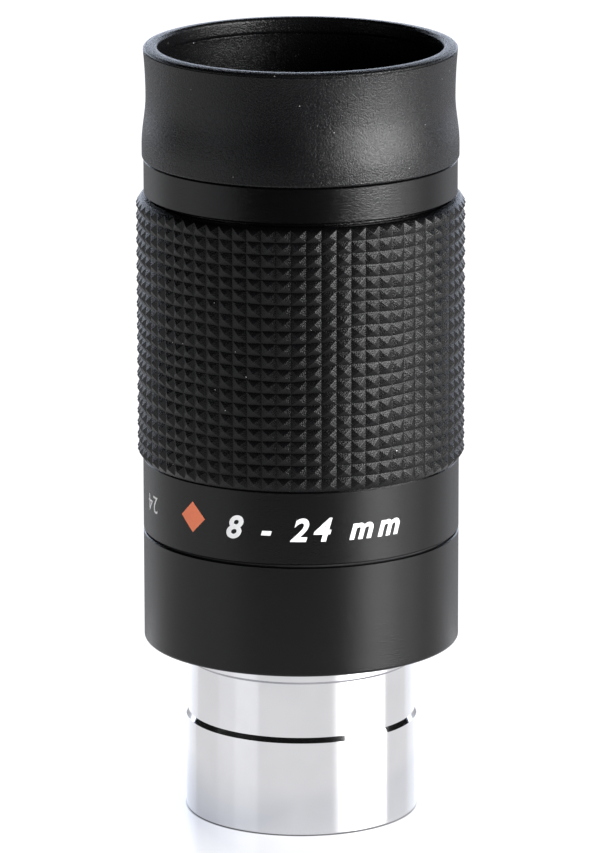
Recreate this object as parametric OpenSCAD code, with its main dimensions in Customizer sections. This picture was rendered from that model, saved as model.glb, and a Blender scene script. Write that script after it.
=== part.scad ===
// Zoom eyepiece for a telescope, in millimetres.
// +Z is the optical axis towards the eye, and the origin is the centre of the barrel's lower end.
// Drawn at its shortest focal length. Turning the zoom ring clockwise, seen from the eye end,
// raises the front group and lowers the middle group by way of the slots in the cam tube.

/* [Nosepiece] */
// Outside diameter of the push-fit barrel
barrel_d = 31.75; // [31.65:0.01:31.75]
// Length of the full-diameter stretch below the safety undercut
barrel_len = 13.16; // [12:0.02:14]
// Depth of the safety undercut, on the radius
undercut_depth = 0.32; // [0.2:0.02:0.4]
// Height where the collar above the undercut starts
collar_z = 21.7; // [20:0.1:22.5]
// Diameter of the filter thread in the mouth
filter_d = 28.5; // [28.3:0.1:28.6]
// Depth of the filter thread
filter_depth = 6; // [4:0.5:8]
// Diameter of the barrel's bore above the filter thread
barrel_bore_d = 27.4; // [27.2:0.1:27.6]

/* [Housing] */
// Outside diameter of the lower housing and of the zoom ring
body_d = 43; // [42.8:0.1:44]
// Height of the shoulder that meets the focuser
shoulder_z = 24.08; // [23.8:0.02:24.4]
// Height of the top of the lower housing
housing_top_z = 39.3; // [38.8:0.1:39.6]
// Thickness of the floor of the lower housing
housing_floor = 6; // [5.5:0.1:6.4]
// Radius of the paint-filled index dot
index_r = 0.8; // [0.5:0.1:1]

/* [Zoom ring and grip] */
// Gap for a thrust washer between the zoom ring and what is above and below it
washer_gap = 0.32; // [0.3:0.02:0.5]
// Height of the lower edge of the rubber grip
grip_low_z = 49.7; // [49:0.1:50.5]
// Height of the upper edge of the rubber grip
grip_high_z = 85.74; // [85.5:0.02:86]
// Outside diameter over the points of the grip
grip_d = 44.6; // [44.2:0.1:45]
// Depth of the grooves between the rows of points
grip_groove = 0.5; // [0.3:0.05:0.6]
// Number of rows of points up the grip
grip_rows = 21; // [18:1:24]
// Thickness of the rubber, under and including the points
grip_wall = 1.55; // [1.4:0.05:1.7]

/* [Zoom action] */
// Turn of the zoom ring from the shortest to the longest focal length, in degrees
zoom_turn = 112; // [90:1:116]
// Rise of the front group over the whole turn
front_rise = 9; // [7:0.5:9]
// Drop of the middle group over the whole turn
middle_drop = 7; // [5:0.5:7]
// Radius of the collars that run in the slots
collar_r = 1.5; // [1.3:0.1:1.5]

/* [Eye end] */
// Outside diameter of the smooth ring above the grip
eye_ring_d = 42.4; // [42:0.1:43]
// Height of the lower edge of that ring
eye_ring_z = 86.1; // [86:0.02:86.2]
// Height of the seam between that ring and the eyecup
cup_z = 91.06; // [90.8:0.02:91.2]
// Overall height
total_h = 106.3; // [105:0.05:108]
// Outside diameter of the eyecup at its base
cup_base_d = 42.84; // [42.4:0.02:43]
// Outside diameter of the eyecup at its waist
cup_waist_d = 41.7; // [41.5:0.1:42]
// Outside diameter of the eyecup at its rim
cup_rim_d = 42.34; // [42:0.02:43]
// Width of the bead round the eyecup's rim
cup_bead = 1.95; // [1.8:0.05:2.1]

/* [Hidden] */
$fn = 96;

// Clearances on the radius, and how far a cutting tool runs past what it cuts
run_gap = 0.05;
fit_gap = 0.02;
head_gap = 0.04;
spare = 1;

// Chamfers as [across, up], and rounded edges
lead_in = [0.25, 0.4];
mouth_edge = [0.3, 0.35];
collar_edge = [0.05, 0.08];
undercut_ramp_h = 0.66;
bore_cone_h = 0.5;
edge_round = 0.4;
edge_chamfer = 0.15;
ring_chamfer = 0.2;
cell_chamfer = 0.3;

// Radii of the nested tubes, from the outside inwards
barrel_r = barrel_d / 2;
barrel_bore_r = barrel_bore_d / 2;
shank_step = 0.875;
shank_r = barrel_r - shank_step;
body_r = body_d / 2;
grip_r = grip_d / 2;
grip_seat_r = grip_r - grip_wall;
ring_wall = 1.95;
spigot_r = body_r - ring_wall;
grip_seat_wall = 2.05;
cam_wall = 1.4;
cam_out_r = grip_seat_r - grip_seat_wall;
cam_in_r = cam_out_r - cam_wall;
guide_wall = 1.5;
guide_out_r = cam_in_r - run_gap;
guide_in_r = guide_out_r - guide_wall;
cell_r = guide_in_r - run_gap;
lens_gap = 0.1;
lens_ledge = 0.9;
crown_step = 0.4;
lens_r = 12.5;
lens_bore_r = lens_r + lens_gap;
lens_seat_r = lens_r - lens_ledge;
front_lens_r = 11.7;
front_bore_r = front_lens_r + lens_gap;
front_neck_r = barrel_bore_r - 0.5;

// Heights of the housing, the zoom ring and the tubes inside them
floor_z = shoulder_z + housing_floor;
shank_top_z = floor_z - 0.2;
collar_seat_z = shoulder_z + 0.3;
foot_h = 2;
ring_low_z = housing_top_z + washer_gap;
ring_high_z = 85.3;
spigot_z = ring_low_z - 3.6;
cam_low_z = floor_z + foot_h + 1.2;
cam_high_z = ring_high_z - 0.4;
eye_neck_low_z = ring_high_z + washer_gap;
guide_high_z = 89.4;
neck_top_z = 94.9;

// Heights of the guide screws at the shortest focal length, and their angles round the axis
front_pin_z = 43;
middle_pin_z = 72;
front_pin_angle = 20;
middle_pin_angle = 80;
drive_screw_z = 58;
drive_screw_angle = 50;
foot_screw_angle = 30;
foot_screw_at = (guide_out_r + spigot_r) / 2;

// Screws: thread and head radii, head heights, and the slots and notches for turning tools
foot_screw_r = 0.7;
foot_head_r = 0.98;
foot_head_h = 0.8;
foot_screw_depth = 3;
drive_screw_r = 1.25;
drive_key_r = 0.72;
blade_w = 0.3;
notch_w = 1.2;
notch_h = 2;

// Lens group heights, each measured where the group is seated
front_low_z = 11;
front_carrier_half = 4.5;
front_carrier_z = front_pin_z - front_carrier_half;
front_top_z = front_pin_z + front_carrier_half;
middle_half = 6;
middle_low_z = middle_pin_z - middle_half;
middle_high_z = middle_pin_z + middle_half;
eye_low_z = 79.5;
seat_h = 1.2;

// Turning tools: a solid of revolution from a profile of [radius, height] points
module turned(profile) rotate_extrude() polygon(profile);

// A plain ring between two radii and two heights
module band(r_in, r_out, z_low, z_high)
    turned([[r_in, z_low], [r_out, z_low], [r_out, z_high], [r_in, z_high]]);

// Points of a round corner in a profile, from one angle to another
function corner(r_at, z_at, radius, from, to, steps = 5) = [
    for (i = [0:steps])
        let (a = from + (to - from) * i / steps)
        [r_at + radius * cos(a), z_at + radius * sin(a)]
];

// Three copies of the children round the axis
module three_round(first_angle)
    for (i = [0:2]) rotate([0, 0, first_angle + 120 * i]) children();

// A round rod lying along the radius
module radial_rod(radius, from, to, z)
    translate([from, 0, z]) rotate([0, 90, 0]) cylinder(r = radius, h = to - from, $fn = 64);

// A ball that passes through a rim circle and bulges up (1) or down (-1) from it
module rim_ball(rim_r, z, ball_r, side)
    translate([0, 0, z - side * sqrt(ball_r * ball_r - rim_r * rim_r)]) sphere(r = ball_r, $fn = 256);

// A glass with both faces bulging, whose rim runs from z_low to z_high
module biconvex(rim_r, z_low, z_high, low_ball, high_ball)
    intersection() {
        translate([0, 0, z_low - 3]) cylinder(r = rim_r, h = z_high - z_low + 7);
        rim_ball(rim_r, z_low, low_ball, -1);
        rim_ball(rim_r, z_high, high_ball, 1);
    }

// A ring that holds a stack of lenses, with two notches for the key that turns it
module notched_ring(r_in, r_out, z_low, z_high, notch_z)
    difference() {
        band(r_in, r_out, z_low, z_high);
        for (side = [0, 180]) rotate([0, 0, side])
            translate([r_in - spare, -notch_w / 2, notch_z])
                cube([r_out - r_in + 2 * spare, notch_w, notch_h]);
    }

// ---- Fixed parts ----

nose_profile = [
    [filter_d / 2 + mouth_edge.x, 0], [barrel_r - lead_in.x, 0], [barrel_r, lead_in.y],
    [barrel_r, barrel_len], [barrel_r - undercut_depth, barrel_len + undercut_ramp_h],
    [barrel_r - undercut_depth, collar_z], [barrel_r - collar_edge.x, collar_z],
    [barrel_r, collar_z + collar_edge.y], [barrel_r, collar_seat_z], [shank_r, collar_seat_z],
    [shank_r, shank_top_z], [barrel_bore_r, shank_top_z], [barrel_bore_r, filter_depth + bore_cone_h],
    [filter_d / 2, filter_depth], [filter_d / 2, mouth_edge.y]
];

module nosepiece_barrel() color("silver") turned(nose_profile);

foot_hole_h = foot_screw_depth + 0.2;
module lower_housing()
    color("dimgray") difference() {
        turned(concat(
            [[shank_r + fit_gap, collar_seat_z], [barrel_r + fit_gap, collar_seat_z],
             [barrel_r + fit_gap, shoulder_z]],
            corner(body_r - edge_round, shoulder_z + edge_round, edge_round, -90, 0),
            [[body_r, housing_top_z - edge_chamfer], [body_r - edge_chamfer, housing_top_z],
             [spigot_r + run_gap, housing_top_z], [spigot_r + run_gap, floor_z],
             [shank_r + fit_gap, floor_z]]
        ));
        three_round(foot_screw_angle)
            translate([foot_screw_at, 0, floor_z - foot_hole_h])
                cylinder(r = foot_screw_r, h = foot_hole_h + spare, $fn = 32);
        index_rod();
    }

// The index dot fills a shallow hole in the side away from the mark
index_z = housing_top_z - 1.9;
index_depth = 0.5;
module index_rod()
    rotate([0, 0, 90]) radial_rod(index_r, body_r - index_depth, body_r + spare, index_z);

module index_dot()
    color("white") intersection() {
        index_rod();
        translate([0, 0, shoulder_z]) cylinder(r = body_r, h = housing_top_z - shoulder_z, $fn = 256);
    }

// A straight slot through the guide tube, for collars that travel from one height to another
slot_end_gap = 0.3;
module straight_slot(z_from, z_to) {
    half = collar_r + run_gap;
    low = z_from - slot_end_gap;
    high = z_to + slot_end_gap;
    reach = guide_wall + 2 * spare;
    for (z = [low, high]) radial_rod(half, guide_in_r - spare, guide_out_r + spare, z);
    translate([guide_in_r - spare, -half, low]) cube([reach, 2 * half, high - low]);
}

foot_r = spigot_r - 0.1;
module guide_tube()
    color("gainsboro") difference() {
        turned([[guide_in_r, floor_z], [foot_r, floor_z], [foot_r, floor_z + foot_h],
                [guide_out_r, floor_z + foot_h], [guide_out_r, guide_high_z],
                [guide_in_r, guide_high_z]]);
        three_round(front_pin_angle) straight_slot(front_pin_z, front_pin_z + front_rise);
        three_round(middle_pin_angle) straight_slot(middle_pin_z - middle_drop, middle_pin_z);
        three_round(foot_screw_angle) {
            translate([foot_screw_at, 0, floor_z - spare])
                cylinder(r = foot_screw_r + run_gap, h = foot_h + 2 * spare, $fn = 32);
            translate([foot_screw_at, 0, floor_z + foot_h - foot_head_h])
                cylinder(r = foot_head_r + head_gap, h = foot_head_h + spare, $fn = 32);
        }
    }

module guide_tube_screws()
    color("slategray") three_round(foot_screw_angle) translate([foot_screw_at, 0, floor_z])
        difference() {
            union() {
                translate([0, 0, -foot_screw_depth])
                    cylinder(r = foot_screw_r, h = foot_screw_depth + foot_h - foot_head_h / 2, $fn = 32);
                translate([0, 0, foot_h - foot_head_h])
                    cylinder(r = foot_head_r, h = foot_head_h, $fn = 32);
            }
            translate([-foot_head_r - spare, -blade_w / 2, foot_h - foot_head_h / 2])
                cube([2 * (foot_head_r + spare), blade_w, spare]);
        }

// The washers are fixed to what stands still, and the zoom ring runs against their other faces
washer_free = 0.15;
washer_run_gap = 0.04;
module lower_thrust_washer()
    color("black") band(spigot_r + washer_free, body_r - 0.5, housing_top_z, ring_low_z - washer_run_gap);

module upper_thrust_washer()
    color("black") band(cam_out_r + washer_free, body_r - 1.7, ring_high_z + washer_run_gap,
                        eye_neck_low_z);

// A rib inside the eyecup snaps into a groove round the ring's neck
cup_seat_r = 19.5;
cup_groove_r = 18.95;
cup_groove_low_z = 92.4;
cup_groove_high_z = 94;
groove_slope = 0.1;
rib_slope = 0.2;
cup_seam = 0.06;
neck_shoulder_r = body_r - 1.1;
eye_bore_r = guide_in_r - 0.5;
guide_socket_z = guide_high_z + 0.1;
module eye_end_ring()
    color("dimgray") turned([
        [guide_out_r + fit_gap, eye_neck_low_z], [neck_shoulder_r, eye_neck_low_z],
        [neck_shoulder_r, eye_ring_z], [eye_ring_d / 2 - ring_chamfer, eye_ring_z],
        [eye_ring_d / 2, eye_ring_z + ring_chamfer],
        [eye_ring_d / 2, cup_z - cup_seam - ring_chamfer],
        [eye_ring_d / 2 - ring_chamfer, cup_z - cup_seam], [cup_seat_r, cup_z - cup_seam],
        [cup_seat_r, cup_groove_low_z], [cup_groove_r, cup_groove_low_z + groove_slope],
        [cup_groove_r, cup_groove_high_z - groove_slope], [cup_seat_r, cup_groove_high_z],
        [cup_seat_r, neck_top_z], [eye_bore_r + fit_gap, neck_top_z],
        [eye_bore_r + fit_gap, guide_socket_z], [guide_out_r + fit_gap, guide_socket_z]
    ]);

eye_flange_r = 17;
eye_flange_h = 1;
eye_seat_z = eye_low_z + seat_h;
module eye_lens_cell()
    color("black") turned([
        [lens_seat_r, eye_low_z], [eye_bore_r, eye_low_z], [eye_bore_r, neck_top_z],
        [eye_flange_r, neck_top_z], [eye_flange_r, neck_top_z + eye_flange_h - cell_chamfer],
        [eye_flange_r - 0.5, neck_top_z + eye_flange_h],
        [lens_bore_r + 0.5, neck_top_z + eye_flange_h], [lens_bore_r, neck_top_z + 0.5],
        [lens_bore_r, eye_seat_z], [lens_seat_r, eye_seat_z]
    ]);

// The two glasses of the eye doublet share a face that bulges down
eye_cement_z = eye_seat_z + 3.9;
crown_edge = 1;
cement_ball = 36;
cement_film = 0.001;
module eye_doublet_flint()
    color("lightcyan") difference() {
        translate([0, 0, eye_seat_z])
            cylinder(r = lens_r, h = eye_cement_z - eye_seat_z + cement_film);
        rim_ball(lens_r - crown_step, eye_cement_z, cement_ball, -1);
    }

module eye_doublet_crown()
    color("lightcyan")
        biconvex(lens_r - crown_step, eye_cement_z, eye_cement_z + crown_edge, cement_ball, 30);

// The spacer touches the doublet below and the single eye lens above by its inner edges
eye_lens_z = eye_seat_z + 9.2;
eye_lens_edge = 1.7;
spacer_low_z = eye_seat_z + 5.35;
module eye_lens_spacer()
    color("black") band(lens_seat_r + lens_gap, lens_r, spacer_low_z, eye_lens_z - 0.15);

module eye_lens()
    color("lightcyan") biconvex(lens_r, eye_lens_z, eye_lens_z + eye_lens_edge, 80, 26);

// Retaining rings reach a little further in than the ledge at the other end of the cell
ring_reach = 0.2;
eye_ring_low_z = eye_lens_z + 2.32;
eye_ring_high_z = eye_lens_z + 4.3;
module eye_retaining_ring()
    color("black") notched_ring(lens_seat_r - ring_reach, lens_r, eye_ring_low_z, eye_ring_high_z,
                                eye_ring_high_z - 0.7);

// Outside radius of the eyecup: straight at the base, eased in to the waist, flared to the rim
cup_straight_z = 92.8;
cup_waist_z = 99.4;
bead_h = 0.48;
cup_lip_z = total_h - bead_h;
function cup_ease(z) = (1 + cos(180 * (z - cup_straight_z) / (cup_waist_z - cup_straight_z))) / 2;
function cup_flare(z) = pow((z - cup_waist_z) / (cup_lip_z - cup_waist_z), 2);
function cup_outer(z) =
    z < cup_waist_z ? (cup_waist_d + (cup_base_d - cup_waist_d) * cup_ease(z)) / 2
                    : (cup_waist_d + (cup_rim_d - cup_waist_d) * cup_flare(z)) / 2;

cup_curve_steps = 10;
cup_foot_round = 0.35;
cup_inner_r = 19.75;
cup_hollow_z = 97;
bead_in_r = cup_rim_d / 2 - cup_bead;
bead_out_round = 0.42;
bead_in_round = 0.75;
bead_under_r = 0.55;
bead_under_z = total_h - 1.75;
module eyecup()
    color("darkslategray") turned(concat(
        [[cup_seat_r + fit_gap, cup_z]],
        corner(cup_base_d / 2 - cup_foot_round, cup_z + cup_foot_round, cup_foot_round, -90, 0, 4),
        [for (i = [0:cup_curve_steps])
            let (z = cup_straight_z + (cup_waist_z - cup_straight_z) * i / cup_curve_steps)
            [cup_outer(z), z]],
        [for (i = [1:cup_curve_steps])
            let (z = cup_waist_z + (cup_lip_z - cup_waist_z) * i / cup_curve_steps)
            [cup_outer(z), z]],
        corner(cup_rim_d / 2 - 0.1 - bead_out_round, total_h - bead_out_round, bead_out_round, 0, 90, 6),
        corner(bead_in_r + bead_in_round, total_h - bead_in_round, bead_in_round, 90, 180, 6),
        corner(bead_in_r + bead_under_r, bead_under_z, bead_under_r, 180, 270, 4),
        [[cup_inner_r, bead_under_z - 0.75], [cup_inner_r + 0.1, bead_under_z - 1.8],
         [cup_inner_r, cup_hollow_z], [cup_seat_r + fit_gap, neck_top_z + 0.7],
         [cup_seat_r + fit_gap, cup_groove_high_z + run_gap],
         [cup_groove_r + fit_gap, cup_groove_high_z + run_gap - rib_slope],
         [cup_groove_r + fit_gap, cup_groove_low_z - run_gap + rib_slope],
         [cup_seat_r + fit_gap, cup_groove_low_z - run_gap]]
    ));

// ---- Zoom ring, which turns ----

module zoom_ring()
    color("dimgray") difference() {
        turned([
            [cam_out_r + fit_gap, spigot_z], [spigot_r, spigot_z], [spigot_r, ring_low_z],
            [body_r - edge_chamfer, ring_low_z], [body_r, ring_low_z + edge_chamfer],
            [body_r, grip_low_z - ring_chamfer], [body_r - ring_chamfer / 2, grip_low_z],
            [grip_seat_r, grip_low_z], [grip_seat_r, ring_high_z], [cam_out_r + fit_gap, ring_high_z]
        ]);
        three_round(drive_screw_angle)
            radial_rod(drive_screw_r, cam_out_r - spare, grip_seat_r + spare, drive_screw_z);
    }

// The rubber sleeve, with a rounded rim at each end and a ridge for each row of points
grip_rim = 0.25;
row_pitch = (grip_high_z - grip_low_z - 2 * grip_rim) / grip_rows;
function ridge_z(row) = grip_low_z + grip_rim + row_pitch * (row + 0.5);
ridge_flat = 0.06;
grip_end_slope = 0.35;
grip_foot_z = grip_low_z + 0.01;
module grip_sleeve()
    color("black") turned(concat(
        [[grip_seat_r + fit_gap, grip_foot_z], [grip_r - grip_groove - grip_end_slope, grip_foot_z],
         [grip_r - grip_groove, grip_low_z + grip_rim]],
        [for (row = [0:grip_rows - 1])
            each [[grip_r, ridge_z(row) - ridge_flat], [grip_r, ridge_z(row) + ridge_flat],
                  [grip_r - grip_groove, ridge_z(row) + row_pitch / 2]]],
        [[grip_r - grip_groove - grip_end_slope, grip_high_z], [grip_seat_r + fit_gap, grip_high_z]]
    ));

// A slot that climbs round the cam tube: one swept block with a round end at each end
slot_half = collar_r + 0.1;
slot_step = 4;
slot_over = 1;
slot_past = 0.4;
module cam_slot(z_start, rise) {
    span = zoom_turn + 2 * slot_over;
    steps = ceil(span / slot_step);
    slope = rise / (zoom_turn * PI / 180 * cam_out_r);
    half_z = slot_half * sqrt(1 + slope * slope);
    r_in = cam_in_r - slot_past;
    r_out = cam_out_r + slot_past;
    function turn(i) = span * i / steps - slot_over;
    function height(i) = z_start + rise * turn(i) / zoom_turn;
    sections = [for (i = [0:steps]) each [
        [r_in * cos(turn(i)), r_in * sin(turn(i)), height(i) - half_z],
        [r_out * cos(turn(i)), r_out * sin(turn(i)), height(i) - half_z],
        [r_out * cos(turn(i)), r_out * sin(turn(i)), height(i) + half_z],
        [r_in * cos(turn(i)), r_in * sin(turn(i)), height(i) + half_z]
    ]];
    walls = [for (i = [0:steps - 1], k = [0:3])
        let (a = 4 * i + k, b = 4 * i + (k + 1) % 4)
        each [[a, b + 4, a + 4], [a, b, b + 4]]];
    far_end = 4 * steps * [1, 1, 1, 1];
    polyhedron(sections, concat([[3, 2, 1, 0]], walls, [[0, 1, 2, 3] + far_end]));
    for (i = [0, steps]) rotate([0, 0, turn(i)]) radial_rod(slot_half, r_in, r_out, height(i));
}

// The drive screws hold the cam tube to the zoom ring, in blind holes
drive_hole_floor = 0.35;
module cam_tube()
    color("goldenrod") difference() {
        band(cam_in_r, cam_out_r, cam_low_z, cam_high_z);
        three_round(front_pin_angle) cam_slot(front_pin_z, front_rise);
        three_round(middle_pin_angle) cam_slot(middle_pin_z, -middle_drop);
        three_round(drive_screw_angle)
            radial_rod(drive_screw_r, cam_in_r + drive_hole_floor, cam_out_r + spare, drive_screw_z);
    }

module cam_drive_screws()
    color("slategray") three_round(drive_screw_angle) difference() {
        radial_rod(drive_screw_r, cam_in_r + drive_hole_floor + run_gap, grip_seat_r - 0.15,
                   drive_screw_z);
        translate([grip_seat_r - 1.4, 0, drive_screw_z]) rotate([0, 90, 0])
            cylinder(r = drive_key_r, h = 2, $fn = 6);
    }

// ---- Guide screws and the collars on them, one set for each moving group ----

screw_r = 0.8;
shoulder_r = 1;
head_r = 1.4;
head_h = 0.45;
head_out = cam_out_r - 0.15;
thread_len = 2;
module guide_screw_set(first_angle, z)
    color("slategray") three_round(first_angle) difference() {
        union() {
            radial_rod(screw_r, cell_r - thread_len, cell_r, z);
            radial_rod(shoulder_r, cell_r, head_out - head_h, z);
            radial_rod(head_r, head_out - head_h, head_out, z);
        }
        translate([head_out - 0.25, -blade_w / 2, z - head_r - spare])
            cube([spare, blade_w, 2 * (head_r + spare)]);
    }

module slot_collar_set(first_angle, z)
    color("white") three_round(first_angle) difference() {
        radial_rod(collar_r, cell_r + 0.1, head_out - head_h - run_gap, z);
        radial_rod(shoulder_r + fit_gap, cell_r, head_out, z);
    }

// Tapped holes that the guide screws go into
module tapped_holes(first_angle, z)
    three_round(first_angle) {
        radial_rod(screw_r, cell_r - thread_len - 0.1, cell_r + spare, z);
        radial_rod(shoulder_r + fit_gap, cell_r - 0.1, cell_r + spare, z);
    }

// ---- Front group, which slides in the barrel ----

front_seat_z = front_low_z + 8.5;
front_seat_r = front_lens_r - 0.8;
module front_cell()
    color("black") difference() {
        turned([
            [front_bore_r, front_low_z], [front_neck_r - cell_chamfer, front_low_z],
            [front_neck_r, front_low_z + cell_chamfer], [front_neck_r, front_carrier_z],
            [cell_r, front_carrier_z], [cell_r, front_top_z], [front_bore_r, front_top_z],
            [front_bore_r, front_seat_z + seat_h], [front_seat_r, front_seat_z + seat_h],
            [front_seat_r, front_seat_z], [front_bore_r, front_seat_z]
        ]);
        tapped_holes(front_pin_angle, front_pin_z);
    }

// The front doublet is hollow on both outer faces, and a flat margin runs round each hollow
front_cement_z = front_low_z + 4.2;
front_cement_ball = 50;
front_crown_z = front_low_z + 2.2;
front_hollow_r = front_lens_r - 1;
module front_doublet_flint()
    color("lightcyan") difference() {
        translate([0, 0, front_cement_z]) cylinder(r = front_lens_r, h = front_seat_z - front_cement_z);
        rim_ball(front_lens_r - crown_step, front_cement_z, front_cement_ball, 1);
        rim_ball(front_hollow_r, front_seat_z, 40, -1);
    }

module front_doublet_crown()
    color("lightcyan") difference() {
        intersection() {
            translate([0, 0, front_crown_z]) cylinder(r = front_lens_r - crown_step, h = 5);
            rim_ball(front_lens_r - crown_step, front_cement_z, front_cement_ball, 1);
        }
        rim_ball(front_hollow_r, front_crown_z, 70, 1);
    }

module front_retaining_ring()
    color("black") notched_ring(front_lens_r - lens_ledge, front_lens_r, front_low_z + 0.4,
                                front_crown_z, front_low_z - 1);

// A knife-edged stop in the front cell sets the edge of the field of view
field_stop_z = front_seat_z + 12;
field_stop_r = 8.5;
field_stop_top_z = field_stop_z + 1.2;
module field_stop()
    color("black") turned([
        [field_stop_r, field_stop_z], [front_lens_r, field_stop_z - 0.6],
        [front_lens_r, field_stop_top_z], [field_stop_r + 1.9, field_stop_top_z],
        [field_stop_r, field_stop_z + 0.15]
    ]);

module front_guide_screws() guide_screw_set(front_pin_angle, front_pin_z);
module front_slot_collars() slot_collar_set(front_pin_angle, front_pin_z);

// ---- Middle group, which slides in the guide tube ----

middle_seat_z = middle_high_z - seat_h;
module middle_cell()
    color("black") difference() {
        turned([
            [lens_bore_r, middle_low_z], [cell_r, middle_low_z], [cell_r, middle_high_z],
            [lens_seat_r, middle_high_z], [lens_seat_r, middle_seat_z], [lens_bore_r, middle_seat_z]
        ]);
        tapped_holes(middle_pin_angle, middle_pin_z);
    }

middle_cement_z = middle_seat_z - 3.4;
middle_crown_edge = 1.8;
middle_ring_z = middle_cement_z - 4.9;
module middle_doublet_flint()
    color("lightcyan") difference() {
        translate([0, 0, middle_cement_z]) cylinder(r = lens_r, h = middle_seat_z - middle_cement_z);
        rim_ball(lens_r - crown_step, middle_cement_z, cement_ball, 1);
    }

module middle_doublet_crown()
    color("lightcyan") biconvex(lens_r - crown_step, middle_cement_z - middle_crown_edge,
                                middle_cement_z, 40, cement_ball);

module middle_retaining_ring()
    color("black") notched_ring(lens_seat_r - ring_reach, lens_r, middle_ring_z,
                                middle_cement_z - 2.2, middle_ring_z - 1.1);

module middle_guide_screws() guide_screw_set(middle_pin_angle, middle_pin_z);
module middle_slot_collars() slot_collar_set(middle_pin_angle, middle_pin_z);

nosepiece_barrel();
lower_housing();
index_dot();
guide_tube();
guide_tube_screws();
lower_thrust_washer();
upper_thrust_washer();
eye_end_ring();
eye_lens_cell();
eye_doublet_flint();
eye_doublet_crown();
eye_lens_spacer();
eye_lens();
eye_retaining_ring();
eyecup();
zoom_ring();
grip_sleeve();
cam_tube();
cam_drive_screws();
front_cell();
front_doublet_crown();
front_doublet_flint();
front_retaining_ring();
field_stop();
front_guide_screws();
front_slot_collars();
middle_cell();
middle_doublet_crown();
middle_doublet_flint();
middle_retaining_ring();
middle_guide_screws();
middle_slot_collars();
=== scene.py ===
# %% [markdown]
# # A zoom eyepiece for a telescope
# The tubes, lenses and screws of this eyepiece are already built to size as a frame, in metres, standing
# on its barrel with the optical axis along +Z. This lesson dresses that frame. Parts whose shape is right
# keep it and get a worked finish. The chrome barrel, the rubber grip and the eyecup are modelled again in
# finer detail and take the place of their plain frame parts, and the painted figures are added.

# %% Load the frame
import math

import bpy
from mathutils import Matrix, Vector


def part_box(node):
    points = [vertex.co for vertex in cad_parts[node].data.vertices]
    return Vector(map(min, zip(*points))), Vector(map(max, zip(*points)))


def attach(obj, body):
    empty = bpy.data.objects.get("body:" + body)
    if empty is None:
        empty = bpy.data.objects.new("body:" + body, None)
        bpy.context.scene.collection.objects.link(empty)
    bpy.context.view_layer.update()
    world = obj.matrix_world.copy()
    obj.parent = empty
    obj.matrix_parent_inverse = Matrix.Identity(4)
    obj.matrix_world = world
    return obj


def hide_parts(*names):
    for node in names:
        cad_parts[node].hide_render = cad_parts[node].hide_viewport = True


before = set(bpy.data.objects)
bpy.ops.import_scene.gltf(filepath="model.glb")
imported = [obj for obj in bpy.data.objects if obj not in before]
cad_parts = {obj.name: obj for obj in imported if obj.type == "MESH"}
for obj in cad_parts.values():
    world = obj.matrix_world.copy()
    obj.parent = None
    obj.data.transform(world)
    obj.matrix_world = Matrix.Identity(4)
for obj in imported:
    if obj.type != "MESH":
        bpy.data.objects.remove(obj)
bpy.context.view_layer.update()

# %% [markdown]
# ## The shot
# A long lens held far away keeps the sides of the tube almost parallel. The lens looks down on the
# eyepiece by about fourteen degrees, so the eyecup shows its open mouth. The camera aims at a point
# half way up the axis.

# %% Camera
MM = 0.001
AIM_HEIGHT = 53.36 * MM
DISTANCE = 907.3 * MM
LOOK_DOWN = math.radians(14.16)
LEAN = math.radians(-0.097)
STEP_ASIDE = -0.14 * MM
FOCAL_LENGTH = 281.3

back = DISTANCE * math.cos(LOOK_DOWN)
bpy.ops.object.camera_add(location=(STEP_ASIDE, -back, AIM_HEIGHT + DISTANCE * math.sin(LOOK_DOWN)))
camera = bpy.context.active_object
camera.name = "shot_camera"
tilt = Matrix.Rotation(math.radians(90) - LOOK_DOWN, 3, "X")
camera.rotation_euler = (tilt @ Matrix.Rotation(LEAN, 3, "Z")).to_euler()
camera.data.lens = FOCAL_LENGTH
camera.data.clip_start = 0.05
camera.data.clip_end = 20
bpy.context.scene.camera = camera
bpy.context.scene.view_settings.view_transform = "Standard"
print("camera at", tuple(camera.location))

# %% [markdown]
# ## Sums on sockets
# A finish is worked out from numbers that change over the surface. Wrapping a socket in a small class
# lets those numbers be added and multiplied like any others: each sum adds its own Math node. Every
# other kind of node comes from the one method `node`, which sets the node's choices first and then feeds
# its sockets.

# %% The Wire class


class Wire:
    """A socket whose value changes over the surface, ready for sums."""

    def __init__(self, socket):
        self.socket = socket

    def node(self, kind, settings, sockets, out=0):
        """Add a node, set its choices, feed its sockets, and give one of its outputs."""
        made = self.socket.id_data.nodes.new("ShaderNode" + kind)
        for name, value in settings.items():
            setattr(made, name, value)
        for name, value in sockets.items():
            feed(made.inputs[name], value)
        return Wire(made.outputs[out])

    def sum(self, operation, first, second):
        return self.node("Math", {"operation": operation}, {0: first, 1: second})

    def __add__(self, other):
        return self.sum("ADD", self, other)

    def __sub__(self, other):
        return self.sum("SUBTRACT", self, other)

    def __rsub__(self, other):
        return self.sum("SUBTRACT", other, self)

    def __mul__(self, other):
        return self.sum("MULTIPLY", self, other)

    def __gt__(self, other):
        return self.sum("GREATER_THAN", self, other)

    def __lt__(self, other):
        return self.sum("LESS_THAN", self, other)

    __radd__ = __add__
    __rmul__ = __mul__


def feed(socket, value):
    """Link a Wire to a socket, or set the socket to a plain value."""
    if isinstance(value, Wire):
        socket.id_data.links.new(value.socket, socket)
    else:
        socket.default_value = value


print("Wire is ready")

# %% [markdown]
# ## Patterns that finishes share
# Every pattern is measured in millimetres on the object itself, so it stays put from any side. Fine noise
# is a blasted or moulded grain. Noise that only sees the radius and the height makes the rings that a
# lathe tool leaves. Small scattered dots are dust, which any rubber gathers.

# %% Places and patterns


def noise(place, per_mm, detail=2.0):
    """Soft random numbers from 0 to 1, so many to the millimetre."""
    return place.node("TexNoise", {}, {"Vector": place, "Scale": per_mm, "Detail": detail})


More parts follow.
